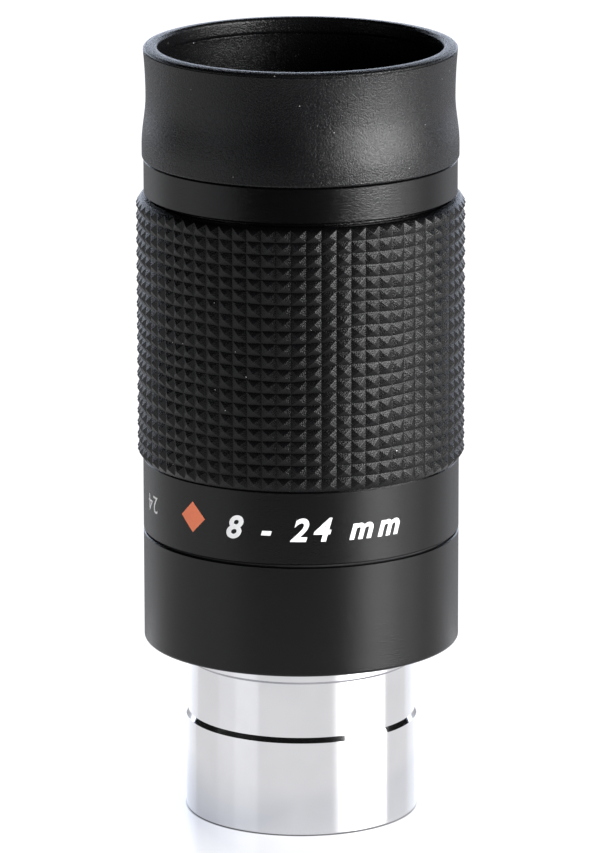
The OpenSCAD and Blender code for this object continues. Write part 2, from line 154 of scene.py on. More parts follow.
def share(value, low, high):
    """0 where a value is low or less, 1 where it is high or more, and in between between."""
    return value.node("MapRange", {}, {"Value": value, "From Min": low, "From Max": high})


def tint(factor, low_colour, high_colour):
    """A colour that goes from one to the other as the factor goes from 0 to 1."""
    ends = [end if isinstance(end, Wire) else (*end, 1) for end in (low_colour, high_colour)]
    return factor.node("Mix", {"data_type": "RGBA"}, {0: factor, 6: ends[0], 7: ends[1]}, out=2)


def axis_radius(place):
    """How far each place is from the optical axis, in millimetres."""
    flat = place.node("VectorMath", {"operation": "MULTIPLY"}, {0: place, 1: (1, 1, 0)})
    return flat.node("VectorMath", {"operation": "LENGTH"}, {0: flat}, out="Value")


def along(place, axis):
    """How far each place is along one axis, "X", "Y" or "Z"."""
    return place.node("SeparateXYZ", {}, {0: place}, out=axis)


def lathe_rings(place, per_mm):
    """Fine rings round the axis, as a turning tool leaves, with a slow change round the part."""
    ring_place = place.node("CombineXYZ", {}, {"X": axis_radius(place), "Z": along(place, "Z")})
    drift = noise(place, 0.12)
    return noise(ring_place, per_mm, 3) * (0.6 + drift * 0.8)


def specks(place, per_mm, size, rare):
    """Dots of a size in millimetres, in a few of the cells of a grid of so many to the millimetre."""
    cells = place.node("TexVoronoi", {}, {"Vector": place, "Scale": per_mm}, out="Distance")
    chance = cells.node("SeparateColor", {}, {0: Wire(cells.socket.node.outputs["Color"])})
    return (cells < size * per_mm) * (chance > rare)


def bump(height, depth_mm, normal=None):
    """A surface normal from heights of 0 to 1, which stand for a depth in millimetres."""
    sockets = {"Height": height, "Distance": depth_mm * MM}
    if normal:
        sockets["Normal"] = normal
    return height.node("Bump", {}, sockets, out="Normal")


def new_finish(name, **settings):
    """A new material, with its plain settings, and the places on the object in millimetres."""
    material = bpy.data.materials.new(name)
    material.use_nodes = True
    shader = material.node_tree.nodes["Principled BSDF"]
    for socket, value in settings.items():
        shader.inputs[socket.replace("_", " ")].default_value = value
    here = Wire(material.node_tree.nodes.new("ShaderNodeTexCoord").outputs["Object"])
    place = here.node("VectorMath", {"operation": "SCALE"}, {0: here, "Scale": 1000})
    return material, shader, place


def varies(shader, socket, value):
    """Feed one of the shader's sockets with a Wire."""
    feed(shader.inputs[socket], value)


print("patterns are ready")

# %% [markdown]
# ## Black anodised aluminium
# The housing, the zoom ring and the ring under the eyecup are turned, blasted with fine beads, and dyed
# black. The beads leave a grain that sparkles where a light glances off it. Very faint lathe rings still
# show through the blasting.

# %% Satin black


def make_satin_black():
    material, shader, place = new_finish("satin_black_anodised", IOR=1.31)
    grain = noise(place, 6.0, 1)
    rings = lathe_rings(place, 4.0)
    clouds = noise(place, 0.25)
    varies(shader, "Base Color", tint(grain, (0.0004, 0.0004, 0.0005), (0.0015, 0.0015, 0.0018)))
    varies(shader, "Roughness", 0.13 + grain * 0.12 + clouds * 0.04)
    varies(shader, "Normal", bump(rings, 0.003, bump(grain, 0.03)))
    return material


satin_black = make_satin_black()
print("made", satin_black.name)

# %% [markdown]
# ## Matt black inside
# Lens cells, their retaining rings and the field stop are blackened so that they throw no stray light.
# The blackening is a rough dye over coarse lathe rings.

# %% Baffle black


def make_baffle_black():
    material, shader, place = new_finish("matt_baffle_black", IOR=1.4)
    rings = lathe_rings(place, 3.0)
    grain = noise(place, 4.0, 3)
    varies(shader, "Base Color", tint(rings, (0.004, 0.004, 0.005), (0.012, 0.012, 0.013)))
    varies(shader, "Roughness", 0.55 + grain * 0.25)
    varies(shader, "Normal", bump(rings, 0.02, bump(grain, 0.01)))
    return material


baffle_black = make_baffle_black()
print("made", baffle_black.name)

# %% [markdown]
# ## Chrome plate
# The barrel is polished brass under bright chrome. Polishing on a lathe leaves rings too fine to see one
# by one, yet they blur reflections a little up and down. Handling leaves a faint film that dulls it in
# patches.

# %% Chrome


def make_chrome():
    material, shader, place = new_finish(
        "bright_chrome_plate", Metallic=1.0, Anisotropic=0.6, Anisotropic_Rotation=0.25
    )
    rings = lathe_rings(place, 6.0)
    film = share(noise(place, 0.18), 0.35, 0.75)
    varies(shader, "Base Color", tint(film, (0.63, 0.63, 0.64), (0.60, 0.60, 0.61)))
    varies(shader, "Roughness", 0.09 + film * 0.02 + rings * 0.02)
    varies(shader, "Normal", bump(rings, 0.0006))
    return material


chrome = make_chrome()
print("made", chrome.name)

# %% [markdown]
# ## Plain metals of the zoom action
# Inside, the guide tube is bare turned aluminium and the cam tube is brass. The screws are small steel
# ones. All three share one recipe: a metal colour that changes a little, under fine lathe rings.

# %% Aluminium, brass and steel


def make_bare_metal(name, low_colour, high_colour, roughness, ring_depth):
    material, shader, place = new_finish(name, Metallic=1.0)
    rings = lathe_rings(place, 3.5)
    stain = noise(place, 0.4, 4)
    varies(shader, "Base Color", tint(stain, low_colour, high_colour))
    varies(shader, "Roughness", roughness + rings * 0.12 + stain * 0.06)
    varies(shader, "Normal", bump(rings, ring_depth))
    return material


bare_aluminium = make_bare_metal(
    "turned_bare_aluminium", (0.62, 0.63, 0.64), (0.74, 0.74, 0.75), 0.24, 0.004
)
cam_brass = make_bare_metal("turned_cam_brass", (0.62, 0.42, 0.16), (0.76, 0.56, 0.26), 0.22, 0.004)
screw_steel = make_bare_metal("small_screw_steel", (0.30, 0.30, 0.31), (0.46, 0.46, 0.47), 0.3, 0.002)
print("made three bare metals")

# %% [markdown]
# ## White plastic and white paint
# The collars that run in the cam slots are a slippery white plastic. The figures on the zoom ring and the
# dot on the housing are filled with white paint, and the mark on the front is orange. Paint is never quite
# even.

# %% White finishes


def make_white(name, low_colour, high_colour, roughness, depth_mm, **settings):
    material, shader, place = new_finish(name, **settings)
    mottle = noise(place, 2.5, 4)
    varies(shader, "Base Color", tint(mottle, low_colour, high_colour))
    varies(shader, "Roughness", roughness + mottle * 0.15)
    varies(shader, "Normal", bump(mottle, depth_mm))
    return material


white_plastic = make_white(
    "slippery_white_plastic", (0.68, 0.67, 0.63), (0.78, 0.77, 0.73), 0.38, 0.004, IOR=1.45
)
white_paint = make_white("white_fill_paint", (0.76, 0.76, 0.76), (0.90, 0.90, 0.90), 0.42, 0.006)
orange_paint = make_white("warm_orange_paint", (0.90, 0.20, 0.075), (0.98, 0.24, 0.10), 0.4, 0.006)
print("made plastic and paints")

# %% [markdown]
# ## Coated glass
# Each lens is clear glass with a thin coating that turns its reflections faintly violet and green. The
# ground rim of a lens is painted black, which starts a little inside the edge.

# %% Glass
CLEAR_R = 11.9
RIM_PAINT_R = 12.2


def make_glass():
    material, shader, place = new_finish(
        "coated_lens_glass",
        IOR=1.55,
        Transmission_Weight=1.0,
        Thin_Film_Thickness=330.0,
        Thin_Film_IOR=1.38,
    )
    rim = share(axis_radius(place), CLEAR_R, RIM_PAINT_R)
    haze = noise(place, 0.6, 3)
    varies(shader, "Base Color", tint(rim, (0.97, 0.98, 0.98), (0.01, 0.01, 0.01)))
    varies(shader, "Roughness", haze * 0.015 + rim * 0.5)
    return material


lens_glass = make_glass()
print("made", lens_glass.name)

# %% [markdown]
# ## Rubber
# The grip and the eyecup are the same black rubber, moulded in two tools. The eyecup's tool was blasted,
# so its skin has an even fine grain. The grip's tool was cut, so its faces are smoother, and its points
# are a touch paler where hands have rubbed them. Both have gathered a little dust. A faint upright line
# on the cup, front and back, shows where the two halves of its mould's wall met.

# %% Cup rubber and grip rubber
SEAM_AZIMUTH = math.radians(5.8)
SEAM_SIDE = (math.cos(SEAM_AZIMUTH), math.sin(SEAM_AZIMUTH), 0)
SEAM_EDGES_SQUARED = (0.003, 0.03)
DUST_GREY = (0.3, 0.3, 0.3)


def make_cup_rubber():
    material, shader, place = new_finish("eyecup_black_rubber", IOR=1.3)
    off_seam = place.node("VectorMath", {"operation": "DOT_PRODUCT"}, {0: place, 1: SEAM_SIDE}, out="Value")
    seam = share(off_seam * off_seam, *SEAM_EDGES_SQUARED)
    grain = noise(place, 5.5, 1.5)
    bloom = noise(place, 0.2, 3)
    dust = specks(place, 0.9, 0.07, 0.86)
    dark = tint(grain * 0.6 + bloom * 0.4, (0.002, 0.002, 0.0025), (0.006, 0.006, 0.0065))
    varies(shader, "Base Color", tint(dust, dark, DUST_GREY))
    varies(shader, "Roughness", 0.17 + grain * 0.15 + bloom * 0.05)
    varies(shader, "Normal", bump(seam, 0.006, bump(grain, 0.07)))
    return material


def make_grip_rubber(valley_r, point_r):
    material, shader, place = new_finish("grip_black_rubber", IOR=1.25)
    grain = noise(place, 6.0, 1.5)
    dust = specks(place, 0.7, 0.08, 0.9)
    rubbed = share(axis_radius(place), valley_r, point_r)
    dark = tint(rubbed * (0.5 + grain), (0.0008, 0.0008, 0.001), (0.005, 0.005, 0.0055))
    varies(shader, "Base Color", tint(dust, dark, DUST_GREY))
    varies(shader, "Roughness", 0.2 + grain * 0.16)
    varies(shader, "Normal", bump(grain, 0.05))
    return material


cup_rubber = make_cup_rubber()
grip_low, grip_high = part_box("grip_sleeve")
GRIP_POINT_R = grip_high.x / MM
POINT_HEIGHT = 0.5
GRIP_VALLEY_R = GRIP_POINT_R - POINT_HEIGHT
grip_rubber = make_grip_rubber(GRIP_VALLEY_R, GRIP_POINT_R)
print("grip rubber reads radii", GRIP_VALLEY_R, "to", GRIP_POINT_R)

# %% [markdown]
# ## Finishes onto the frame
# Each frame part already says which finish it takes, by the name of its one material. The new finish goes
# in that part's material slot, and the mesh is left as it is.

# %% Dress the frame parts
FINISHES = {
    "chrome_plate": chrome,
    "black_anodised": satin_black,
    "white_paint": white_paint,
    "turned_aluminium": bare_aluminium,
    "screw_steel": screw_steel,
    "white_plastic": white_plastic,
    "baffle_black": baffle_black,
    "coated_glass": lens_glass,
    "cup_rubber": cup_rubber,
    "grip_rubber": grip_rubber,
    "cam_brass": cam_brass,
}
for node_name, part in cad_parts.items():
    for place_for_finish in part.material_slots:
        slot_name = place_for_finish.material.name.split(".")[0]
        place_for_finish.material = FINISHES[slot_name]
    print(node_name, "takes", slot_name)

# %% [markdown]
# ## Bench helpers
# New parts are made as by hand, with the modelling operators. An operator works on all that is selected,
# so each part starts from nothing selected, and faces and edges are picked by where they are.

# %% Pick, spin and hand over


def start_editing(name):
    """Name the new primitive, put its place in its mesh, and open it for editing."""
    piece = bpy.context.active_object
    piece.name = name
    piece.data.name = name
    bpy.ops.object.transform_apply(location=True, rotation=True, scale=True)
    bpy.ops.object.mode_set(mode="EDIT")
    bpy.ops.mesh.select_mode(type="VERT")
    bpy.ops.mesh.select_all(action="SELECT")
    return piece


def pick(piece, kind, wanted):
    """Select only the vertices, edges or faces ("VERT", "EDGE", "FACE") that are wanted."""
    bpy.ops.mesh.select_mode(type=kind)
    bpy.ops.mesh.select_all(action="DESELECT")
    bpy.ops.object.mode_set(mode="OBJECT")
    places = piece.data.vertices
    elements = {"VERT": piece.data.vertices, "EDGE": piece.data.edges, "FACE": piece.data.polygons}[kind]
    count = 0
    for element in elements:
        corners = [element.co] if kind == "VERT" else [places[i].co for i in element.vertices]
        element.select = wanted(corners)
        count += element.select
    bpy.ops.object.mode_set(mode="EDIT")
    return count


def radius_mm(point):
    """How far a point is from the optical axis, in millimetres."""
    return math.hypot(point.x, point.y) / MM


MERGE_WITHIN = 0.002 * MM


def spin_outline(name, outline, steps):
    """Pull one point along a closed outline of (radius, height) in millimetres, and spin it round."""
    bpy.ops.object.select_all(action="DESELECT")
    bpy.ops.mesh.primitive_plane_add(size=MM)
    piece = start_editing(name)
    bpy.ops.mesh.merge(type="CENTER")
    radius, height = outline[0]
    bpy.ops.transform.translate(value=(radius * MM, 0, height * MM))
    for next_radius, next_height in outline[1:] + outline[:1]:
        step = ((next_radius - radius) * MM, 0, (next_height - height) * MM)
        bpy.ops.mesh.extrude_region_move(TRANSFORM_OT_translate={"value": step})
        radius, height = next_radius, next_height
    bpy.ops.mesh.select_all(action="SELECT")
    bpy.ops.mesh.remove_doubles(threshold=MERGE_WITHIN)
    bpy.ops.mesh.spin(steps=steps, angle=math.tau, center=(0, 0, 0), axis=(0, 0, 1))
    bpy.ops.mesh.select_all(action="SELECT")
    bpy.ops.mesh.remove_doubles(threshold=MERGE_WITHIN)
    bpy.ops.mesh.normals_make_consistent(inside=False)
    bpy.ops.object.mode_set(mode="OBJECT")
    return piece


def apply_modifier(piece, kind, **settings):
    """Add a modifier, set it up, and make its result the mesh."""
    modifier = piece.modifiers.new(kind.lower(), kind)
    for name, value in settings.items():
        setattr(modifier, name, value)
    bpy.ops.object.select_all(action="DESELECT")
    piece.select_set(True)
    bpy.context.view_layer.objects.active = piece
    bpy.ops.object.modifier_apply(modifier=modifier.name)


def hand_over(piece, body, finish, replaces=()):
    """Give a finished piece its finish, hang it on the body it rides on, and hide the frame parts it takes
    the place of.
    """
    piece.data.materials.clear()
    piece.data.materials.append(finish)
    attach(piece, body)
    if replaces:
        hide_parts(*replaces)
    print(piece.name, "rides", body, "with", len(piece.data.polygons), "faces")


# %% [markdown]
# ## Rounded corners for outlines
# A turned part never has a perfectly sharp edge, and it is the small rounding that catches the light.
# This gives the points of a quarter or half round, to be placed in an outline.

# %% Corner points


def corner(radius_at, height_at, size, first_angle, last_angle, steps=5):
    """Points on an arc about (radius_at, height_at), from one angle in degrees to another."""
    points = []
    for i in range(steps + 1):
        angle = math.radians(first_angle + (last_angle - first_angle) * i / steps)
        points.append((radius_at + size * math.cos(angle), height_at + size * math.sin(angle)))
    return points


print("a quarter round has", len(corner(10, 10, 1, 0, 90)), "points")

# %% [markdown]
# ## The chrome barrel
# The barrel pushes into the focuser. Above its full-diameter stretch a short slope leads in to a shallow
# undercut, which stops it falling out when the clamp is loose, and a fine groove ends the undercut under
# the collar. The outline is spun in one go, with its edges rounded.

# %% Spin the barrel
barrel_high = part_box("nosepiece_barrel")[1]
BARREL_R = barrel_high.x / MM
BARREL_TOP = barrel_high.z / MM
FOOT_ROUND = 0.3
FINE_ROUND = 0.06
LEDGE_Z = 13.16
LEDGE_SLOPE = 0.66
UNDERCUT_R = BARREL_R - 0.32
COLLAR_Z = 21.7
COLLAR_TOP = 24.38
COLLAR_ROUND = 0.05
GROOVE_DEPTH = 0.2
GROOVE_Z = COLLAR_Z - 0.16
SHANK_R = BARREL_R - 0.875
BORE_R = 13.7
THREAD_BOTTOM_R = 14.25
THREAD_DEPTH = 6.0
THREAD_RUNOUT = 0.5
MOUTH_CHAMFER = 0.3

barrel_outline = (
    [(THREAD_BOTTOM_R + MOUTH_CHAMFER, 0)]
    + corner(BARREL_R - FOOT_ROUND, FOOT_ROUND, FOOT_ROUND, -90, 0)
    + corner(BARREL_R - FINE_ROUND, LEDGE_Z - FINE_ROUND, FINE_ROUND, 0, 60, 3)
    + [(UNDERCUT_R, LEDGE_Z + LEDGE_SLOPE), (UNDERCUT_R, GROOVE_Z - GROOVE_DEPTH)]
    + [(UNDERCUT_R - GROOVE_DEPTH, GROOVE_Z), (UNDERCUT_R - GROOVE_DEPTH, COLLAR_Z)]
    + [(BARREL_R - FINE_ROUND, COLLAR_Z)]
    + corner(BARREL_R - COLLAR_ROUND, COLLAR_Z + COLLAR_ROUND, COLLAR_ROUND, -90, 0, 3)
    + [(BARREL_R, COLLAR_TOP), (SHANK_R, COLLAR_TOP), (SHANK_R, BARREL_TOP), (BORE_R, BARREL_TOP)]
    + [(BORE_R, THREAD_DEPTH + THREAD_RUNOUT), (THREAD_BOTTOM_R, THREAD_DEPTH)]
    + [(THREAD_BOTTOM_R, MOUTH_CHAMFER + 0.05)]
)
barrel = spin_outline("chrome_barrel", barrel_outline, 256)
bpy.ops.object.shade_smooth_by_angle(angle=math.radians(20))
apply_modifier(barrel, "WEIGHTED_NORMAL", mode="FACE_AREA", weight=60, keep_sharp=True)
hand_over(barrel, "root", chrome, ["nosepiece_barrel"])

# %% [markdown]
# ## The rubber grip
# The grip is a sleeve moulded with rows of small four-sided points. A cylinder with one side for each
# column of points is cut across into rows. Poking every face then raises a point in each. A bevel blunts
# the points and softens the valleys, as a mould does, and a slow wave lets the rows wander a little, as
# they do on a stretched sleeve.

# %% Raise the points
GRIP_COLUMNS = 68
GRIP_ROWS = 21
GRIP_RIM = 0.25
GRIP_RIM_R = GRIP_VALLEY_R - 0.3
GRIP_SEAT_R = 20.77
VALLEY_AHEAD = math.radians(1.9)
column_turn = math.tau / GRIP_COLUMNS
grip_middle = (grip_low.z + grip_high.z) / 2
grip_rows_height = grip_high.z - grip_low.z - 2 * GRIP_RIM * MM

bpy.ops.object.select_all(action="DESELECT")
bpy.ops.mesh.primitive_cylinder_add(
    vertices=GRIP_COLUMNS,
    radius=GRIP_VALLEY_R * MM,
    depth=grip_rows_height,
    end_fill_type="NOTHING",
    location=(0, 0, grip_middle),
    rotation=(0, 0, VALLEY_AHEAD),
)
grip = start_editing("diamond_grip")
upright = pick(grip, "EDGE", lambda ends: abs(ends[0].z - ends[1].z) > MM)
bpy.ops.mesh.subdivide(number_cuts=GRIP_ROWS - 1)
bpy.ops.mesh.select_all(action="SELECT")
flat_drop = GRIP_VALLEY_R * (1 - math.cos(column_turn / 2))
bpy.ops.mesh.poke(offset=(POINT_HEIGHT + flat_drop) * MM)
print(upright, "columns cut into", GRIP_ROWS, "rows")

# %% [markdown]
# The wave moves points only up and down, and fades out at both ends, where the sleeve is held. It is a
# Displace modifier on a cloud texture, weighted by a vertex group.

# %% Let the rows wander
HELD_MM = 1
FREE_AFTER_MM = 9
WAVE_SIZE = 11 * MM
WAVE_STRENGTH = 1.1 * MM

bpy.ops.object.mode_set(mode="OBJECT")
wander = grip.vertex_groups.new(name="free_rows")
for point in grip.data.vertices:
    from_end = min(point.co.z - grip_low.z, grip_high.z - point.co.z) / MM
    wander.add([point.index], min(max((from_end - HELD_MM) / FREE_AFTER_MM, 0), 1), "REPLACE")
waves = bpy.data.textures.new("sleeve_waves", "CLOUDS")
waves.noise_scale = WAVE_SIZE
waves.noise_depth = 1
apply_modifier(
    grip,
    "DISPLACE",
    texture=waves,
    texture_coords="LOCAL",
    direction="Z",
    strength=WAVE_STRENGTH,
    vertex_group="free_rows",
)
print("rows wander by about half a millimetre")

# %% [markdown]
# The open ends are pulled out a little to make the two narrow rims, then turned in to the seat on the
# zoom ring, and the two inner edges are bridged. The sleeve is then a closed ring of rubber.

# %% Close the sleeve
BLUNTING = 0.07 * MM
NEAR = 0.05

bpy.ops.object.mode_set(mode="EDIT")
for end_z, way in ((grip_low.z, -1), (grip_high.z, 1)):
    pick(grip, "EDGE", lambda ends: all(abs(e.z - end_z) < (GRIP_RIM + NEAR) * MM for e in ends))
    bpy.ops.mesh.extrude_region_move(TRANSFORM_OT_translate={"value": (0, 0, way * GRIP_RIM * MM)})
    shrink = GRIP_RIM_R / GRIP_VALLEY_R
    bpy.ops.transform.resize(value=(shrink, shrink, 1), center_override=(0, 0, end_z))
    bpy.ops.mesh.extrude_region_move()
    shrink = GRIP_SEAT_R / GRIP_RIM_R
    bpy.ops.transform.resize(value=(shrink, shrink, 1), center_override=(0, 0, end_z))
inner = pick(grip, "EDGE", lambda ends: all(radius_mm(e) < GRIP_SEAT_R + NEAR for e in ends))
bpy.ops.mesh.bridge_edge_loops()
print(inner, "edges at the seat are bridged")
bpy.ops.mesh.select_all(action="SELECT")
bpy.ops.mesh.normals_make_consistent(inside=False)
bpy.ops.object.mode_set(mode="OBJECT")
apply_modifier(
    grip, "BEVEL", width=BLUNTING, segments=2, limit_method="ANGLE", angle_limit=math.radians(25)
)
bpy.ops.object.shade_smooth()
apply_modifier(grip, "WEIGHTED_NORMAL", mode="FACE_AREA", weight=60)
hand_over(grip, "zoom_ring_group", grip_rubber, ["grip_sleeve"])

# %% [markdown]
# ## The eyecup
# The cup is soft rubber, waisted so that it can be folded down. A flat bead with rounded edges strengthens
# its rim. Just under the bead, where the mould's lid met its wall, a fine groove runs all the way round.
# Inside the foot, a rib snaps into a groove round the neck of the ring below.

# %% Spin the eyecup
cup_low, cup_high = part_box("eyecup")
CUP_BASE_R = cup_high.x / MM
CUP_WAIST_R = CUP_BASE_R - 0.57
CUP_RIM_R = CUP_BASE_R - 0.25
CUP_FOOT = cup_low.z / MM
CUP_TOP = cup_high.z / MM
CUP_STRAIGHT_Z = 92.8
CUP_WAIST_Z = 99.4
CUP_LIP_Z = CUP_TOP - 0.48
CUP_SEAT_R = 19.52
CUP_RIB_R = 18.97
BEAD_IN_R = CUP_RIM_R - 1.95
BEAD_OUT_ROUND = 0.4
BEAD_IN_ROUND = 0.5
BEAD_OUT_Z = CUP_TOP - 0.1 - BEAD_OUT_ROUND
BEAD_LAND_R = CUP_RIM_R - 0.85
UNDER_BEAD_ROUND = 0.55
UNDER_BEAD_Z = CUP_TOP - 1.75
WALL_IN_R = 19.75
WALL_THIN_R = 19.85
WALL_THIN_Z = CUP_TOP - 3.55
WALL_FOOT_Z = 97
SEAT_TOP_Z = 95.6
RIB_TOP_Z = 94.05
RIB_FOOT_Z = 92.35
RIB_SLOPE = 0.2


def cup_outside(height):
    """The cup's outside radius: straight at the foot, eased in to the waist, and flared to the rim."""
    if height < CUP_WAIST_Z:
        ease = (1 + math.cos(math.pi * (height - CUP_STRAIGHT_Z) / (CUP_WAIST_Z - CUP_STRAIGHT_Z))) / 2
        return CUP_WAIST_R + (CUP_BASE_R - CUP_WAIST_R) * ease
    flare = ((height - CUP_WAIST_Z) / (CUP_LIP_Z - CUP_WAIST_Z)) ** 2
    return CUP_WAIST_R + (CUP_RIM_R - CUP_WAIST_R) * flare


cup_heights = [CUP_STRAIGHT_Z + (CUP_LIP_Z - 0.25 - CUP_STRAIGHT_Z) * i / 30 for i in range(31)]
mould_line = [
    (cup_outside(CUP_LIP_Z - 0.12), CUP_LIP_Z - 0.12),
    (CUP_RIM_R - 0.16, CUP_LIP_Z - 0.05),
    (CUP_RIM_R - 0.16, CUP_LIP_Z + 0.02),
    (CUP_RIM_R - 0.02, CUP_LIP_Z + 0.08),
]
cup_outline = (
    [(CUP_SEAT_R, CUP_FOOT)]
    + corner(CUP_BASE_R - 0.3, CUP_FOOT + 0.3, 0.3, -90, 0)
    + [(cup_outside(height), height) for height in cup_heights]
    + mould_line
    + corner(CUP_RIM_R - 0.04 - BEAD_OUT_ROUND, BEAD_OUT_Z, BEAD_OUT_ROUND, 15, 80, 6)
    + [(BEAD_LAND_R, CUP_TOP)]
    + corner(BEAD_IN_R + BEAD_IN_ROUND, CUP_TOP - BEAD_IN_ROUND, BEAD_IN_ROUND, 90, 180, 8)
    + corner(BEAD_IN_R + UNDER_BEAD_ROUND, UNDER_BEAD_Z, UNDER_BEAD_ROUND, 180, 270, 5)
    + [(WALL_IN_R, UNDER_BEAD_Z - 0.75), (WALL_THIN_R, WALL_THIN_Z), (WALL_IN_R, WALL_FOOT_Z)]
    + [(CUP_SEAT_R, SEAT_TOP_Z), (CUP_SEAT_R, RIB_TOP_Z), (CUP_RIB_R, RIB_TOP_Z - RIB_SLOPE)]
    + [(CUP_RIB_R, RIB_FOOT_Z + RIB_SLOPE), (CUP_SEAT_R, RIB_FOOT_Z)]
)
cup = spin_outline("rubber_eyecup", cup_outline, 192)
bpy.ops.object.shade_smooth_by_angle(angle=math.radians(40))
apply_modifier(cup, "WEIGHTED_NORMAL", mode="FACE_AREA", weight=60, keep_sharp=True)
hand_over(cup, "root", cup_rubber, ["eyecup"])

# %% [markdown]
# ## The painted figures
# The zoom ring carries its focal lengths, which are read against the dot on the housing behind, and its
# whole range in larger figures in front. Text is made flat, turned into a thin solid, cut into narrow
# upright strips so that it can bend, wrapped round the ring with a bend modifier, and then turned to its
# place.

# %% Wrap paint round the ring
RING_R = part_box("lower_housing")[1].x / MM
PAINT_HALF = 0.025
STRIP_WIDTH = 0.4


def wrap_on_ring(piece, azimuth_deg, height, upside_down=False):
    """Bend a flat piece, which faces -Y, round the ring, and turn it to its place from the front."""
    bpy.ops.object.mode_set(mode="EDIT")
    width = piece.dimensions.x / MM
    strips = max(int(width / STRIP_WIDTH), 2)
    for i in range(1, strips):
        bpy.ops.mesh.select_all(action="SELECT")
        cut = (i / strips - 0.5) * width * MM
        bpy.ops.mesh.bisect(plane_co=(cut, 0, 0), plane_no=(1, 0, 0))
    bpy.ops.mesh.select_all(action="SELECT")
    bpy.ops.mesh.remove_doubles(threshold=MERGE_WITHIN / 2)
    bpy.ops.object.mode_set(mode="OBJECT")
    if upside_down:
        piece.rotation_euler = (0, math.pi, 0)
        bpy.ops.object.transform_apply(rotation=True)
    apply_modifier(
        piece, "SIMPLE_DEFORM", deform_method="BEND", deform_axis="Z", angle=width / RING_R
    )
    piece.location = (0, -(RING_R + 0.005) * MM, height * MM)
    bpy.ops.object.transform_apply(location=True)
    piece.rotation_euler = (0, 0, math.radians(azimuth_deg))
    bpy.ops.object.transform_apply(rotation=True)


def painted_text(name, words, size, weight, slant, spacing):
    """Flat text as a thin solid, centred on the origin and facing -Y."""
    bpy.ops.object.select_all(action="DESELECT")
    bpy.ops.object.text_add(rotation=(math.radians(90), 0, 0))
    piece = bpy.context.active_object
    piece.name = name
    text = piece.data
    text.body = words
    text.size = size * MM
    text.offset = weight * MM
    text.shear = slant
    text.space_character = spacing
    text.extrude = PAINT_HALF * MM
    text.resolution_u = 6
    bpy.ops.object.convert(target="MESH")
    piece = bpy.context.active_object
    bpy.ops.object.transform_apply(rotation=True)
    bpy.ops.object.origin_set(type="ORIGIN_GEOMETRY", center="BOUNDS")
    piece.location = (0, 0, 0)
    return piece


FIGURES_Z = 44.6
FIRST_AZIMUTH = -68.8
STOP_TURN = 28
for stop, words in enumerate(("24", "20", "16", "12", "8")):
    figure = painted_text("scale_figure_" + words, words, 3.4, -0.02, 0, 1.1)
    wrap_on_ring(figure, FIRST_AZIMUTH - STOP_TURN * stop, FIGURES_Z, upside_down=True)
    hand_over(figure, "zoom_ring_group", white_paint)

range_text = painted_text("zoom_range_text", "8 - 24 mm", 4.35, 0.12, 0.28, 1.36)
wrap_on_ring(range_text, 5.0, 44.5)
hand_over(range_text, "zoom_ring_group", white_paint)

# %% [markdown]
# A plain orange diamond marks the front of the ring. It is a small plate turned on its point, with a fine
# raised border, and it is cut and bent as the text is.

# %% Orange diamond
SIDE = 3.0 * MM
BORDER = 0.22 * MM
BORDER_HEIGHT = 0.012 * MM

bpy.ops.object.select_all(action="DESELECT")
bpy.ops.mesh.primitive_cube_add(
    size=1, scale=(SIDE, 2 * PAINT_HALF * MM, SIDE), rotation=(0, math.radians(45), 0)
)
diamond = start_editing("orange_diamond")
pick(diamond, "FACE", lambda corners: all(c.y < 0 for c in corners))
bpy.ops.mesh.inset(thickness=BORDER, depth=-BORDER_HEIGHT)
bpy.ops.object.mode_set(mode="OBJECT")
wrap_on_ring(diamond, -42.5, 44.9)
hand_over(diamond, "zoom_ring_group", orange_paint)

# %% [markdown]
# ## Floor and light
# The eyepiece stands on glossy white paper, lit so well that it looks plain white. On the left, close to the
# barrel, a painted shadow makes the paper's glow a little darker and bluer, where the eyepiece keeps the
# large light off it. Right under the barrel's rounded edge a painted contact shadow makes it black. The
# paper's gloss matters for what is upright: the camera looks down, so an upright wall mirrors the paper, and
# in the paper the soft boxes.

# %% White paper
bpy.ops.object.select_all(action="DESELECT")
bpy.ops.mesh.primitive_plane_add(size=8)
floor = bpy.context.active_object
floor.name = "white_paper"


# Spans in millimetres for the paper's painted shadow: how far out from the axis it fades, which side of the
# barrel it lies on, and where the painted black contact shadow ends
PAINTED_SHADOW_SPAN = (13.0, 38.0)
LIT_SIDE_SPAN = (-17.0, -2.0)
PAINTED_CONTACT_SHADOW_SPAN = (15.7, 16.1)


def make_paper():
    material, shader, place = new_finish("glossy_white_paper", IOR=1.45, Emission_Strength=1.0)
    fibres = noise(place, 0.05)
    out_from_barrel = axis_radius(place)
    # Painted shadow: the glow is painted darker and bluer close to the barrel on its left side, and black
    # right under its edge
    lit_side = share(along(place, "X"), *LIT_SIDE_SPAN)
    outside_painted_shadow = lit_side.sum("MAXIMUM", lit_side * 0.75, share(out_from_barrel, *PAINTED_SHADOW_SPAN))
    # Painted contact shadow: the glow is painted black in a thin ring under the barrel's rounded edge
    painted_contact_shadow = 1 - share(out_from_barrel, *PAINTED_CONTACT_SHADOW_SPAN)
    glow_with_painted_shadow = tint(outside_painted_shadow, (0.62, 0.65, 0.74), (0.98, 0.98, 1.0))
    varies(shader, "Base Color", tint(fibres, (0.18, 0.18, 0.18), (0.20, 0.20, 0.20)))
    varies(shader, "Roughness", 0.2 + fibres * 0.04)
    varies(shader, "Emission Color", tint(painted_contact_shadow, glow_with_painted_shadow, (0, 0, 0)))
    material.cycles.emission_sampling = "NONE"
    return material


floor.data.materials.append(make_paper())
print("the paper is", floor.dimensions.x, "metres wide")

# %% [markdown]
# The paper ends in front of the eyepiece, and past it the studio is dark: that is what keeps the middle
# of the polished black ring black. A black card stands for the dark. Behind, a second card is dark in its
# middle and light at its sides, so that the tube's outline stays dark against the paper, and a pale board
# puts light on the flat of the eyecup's bead. Only reflections see all three.

# %% Cards and board


